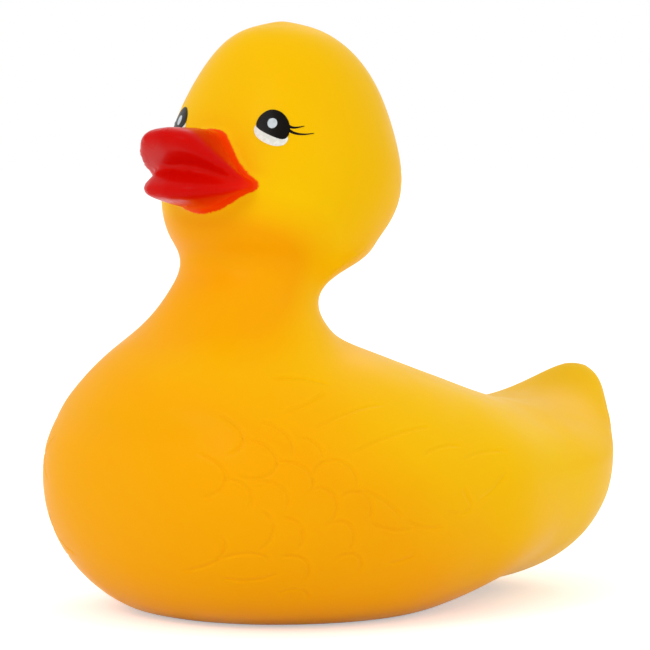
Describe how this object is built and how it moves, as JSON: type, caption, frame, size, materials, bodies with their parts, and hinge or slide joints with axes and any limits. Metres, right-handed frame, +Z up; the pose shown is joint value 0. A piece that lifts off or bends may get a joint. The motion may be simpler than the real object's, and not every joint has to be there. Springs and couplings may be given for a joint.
{
  "type": "floating chlorine dispenser",
  "caption": "Duck-shaped floating tablet dispenser: hollow vinyl duck with a belly well, a screw cap and a turning flow shutter.",
  "frame": {"origin": "bottom centre of the duck's box, on the surface it stands on", "axes": "+Z up, -Y the way the duck faces, +X the duck's left"},
  "size_m": [0.1906, 0.276, 0.25],
  "materials": {
    "vinyl": "satin moulded yellow vinyl",
    "bill_paint": "glossy red sprayed paint on vinyl",
    "white_paint": "printed off-white",
    "black_paint": "printed black",
    "glint_paint": "printed pale grey",
    "well_plastic": "moulded white polypropylene",
    "seal_rubber": "moulded black rubber",
    "stainless": "stainless steel",
    "ballast": "coated cast iron",
    "cap_plastic": "moulded white polypropylene",
    "washer_plastic": "natural nylon",
    "tablet": "pressed white chlorine tablet",
    "shutter_plastic": "moulded blue polypropylene"
  },
  "bodies": {
    "duck": {"duck_shell": "vinyl", "bill": "bill_paint", "eye_white_left": "white_paint", "eye_white_right": "white_paint", "eye_pupil_left": "black_paint", "eye_pupil_right": "black_paint", "eye_glint_left": "glint_paint", "eye_glint_right": "glint_paint", "eyelashes_left": "black_paint", "eyelashes_right": "black_paint", "tablet_well": "well_plastic", "tether_eye": "well_plastic", "flange_gasket": "seal_rubber", "clamp_ring": "well_plastic", "flange_screws": "stainless", "ballast_ring": "ballast", "ballast_screws": "stainless"},
    "seal": {"cap_seal": "seal_rubber"},
    "cap": {"screw_cap": "cap_plastic", "shutter_pivot": "stainless", "pivot_washer": "washer_plastic", "tablet_1": "tablet", "tablet_2": "tablet"},
    "shutter": {"flow_shutter": "shutter_plastic"}
  },
  "joints": [
    {"name": "cap_travel", "type": "slide", "parent": "duck", "child": "seal", "axis": [0, 0, -1], "range_m": [0, 0.012]},
    {"name": "cap_turn", "type": "hinge", "parent": "seal", "child": "cap", "pos_m": [0, -0.038, 0], "axis": [0, 0, -1], "range_deg": [0, 360]},
    {"name": "shutter_turn", "type": "hinge", "parent": "cap", "child": "shutter", "pos_m": [0, -0.038, 0], "axis": [0, 0, -1], "range_deg": [0, 22.5]}
  ],
  "couplings": [
    {"joint": "cap_travel", "follows": "cap_turn", "m_per_rad": 0.0019099}
  ]
}
